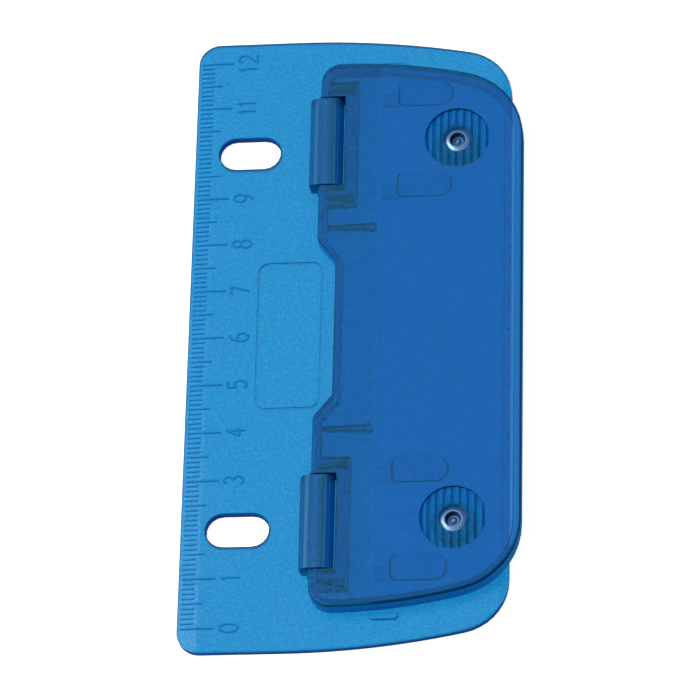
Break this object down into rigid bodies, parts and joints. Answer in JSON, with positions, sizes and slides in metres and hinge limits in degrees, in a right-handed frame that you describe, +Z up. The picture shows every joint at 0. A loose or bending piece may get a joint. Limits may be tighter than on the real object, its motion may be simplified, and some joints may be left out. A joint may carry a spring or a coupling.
{
  "type": "pocket hole punch",
  "caption": "Flat pocket paper punch in translucent plastic with a ruler edge, binder slots, a hinged press cover and sprung steel pins.",
  "frame": {"origin": "centre of the bounding box at the underside of the base, on the table", "axes": "+X from the ruler edge to the press edge, +Y along the ruler towards its high numbers, +Z up from the table"},
  "size_m": [0.065, 0.1292, 0.006],
  "materials": {
    "base_plastic": "translucent sky-blue moulded plastic, fine satin top",
    "cover_plastic": "translucent deep-blue moulded plastic, smooth",
    "clear_plastic": "nearly clear moulded plastic",
    "pin_steel": "ground bright steel",
    "spring_steel": "drawn spring steel",
    "die_steel": "turned steel"
  },
  "bodies": {
    "base": {"base_plate": "base_plastic", "guide_plate": "clear_plastic", "die_ring_north": "die_steel", "die_ring_south": "die_steel", "return_spring_north": "spring_steel", "return_spring_south": "spring_steel"},
    "cover": {"press_cover": "cover_plastic"},
    "pin_north": {"punch_pin_north": "pin_steel", "retaining_ring_north": "spring_steel"},
    "pin_south": {"punch_pin_south": "pin_steel", "retaining_ring_south": "spring_steel"}
  },
  "joints": [
    {"name": "cover_hinge", "type": "hinge", "parent": "base", "child": "cover", "pos_m": [-0.00635, 0, 0.00355], "axis": [0, -1, 0], "range_deg": [0, 5]},
    {"name": "pin_north_slide", "type": "slide", "parent": "base", "child": "pin_north", "axis": [0, 0, 1], "range_m": [0, 0.00195], "deforming": ["return_spring_north"]},
    {"name": "pin_south_slide", "type": "slide", "parent": "base", "child": "pin_south", "axis": [0, 0, 1], "range_m": [0, 0.00195], "deforming": ["return_spring_south"]}
  ],
  "couplings": [
    {"joint": "pin_north_slide", "follows": "cover_hinge", "m_per_rad": 0.02225},
    {"joint": "pin_south_slide", "follows": "cover_hinge", "m_per_rad": 0.02225}
  ]
}
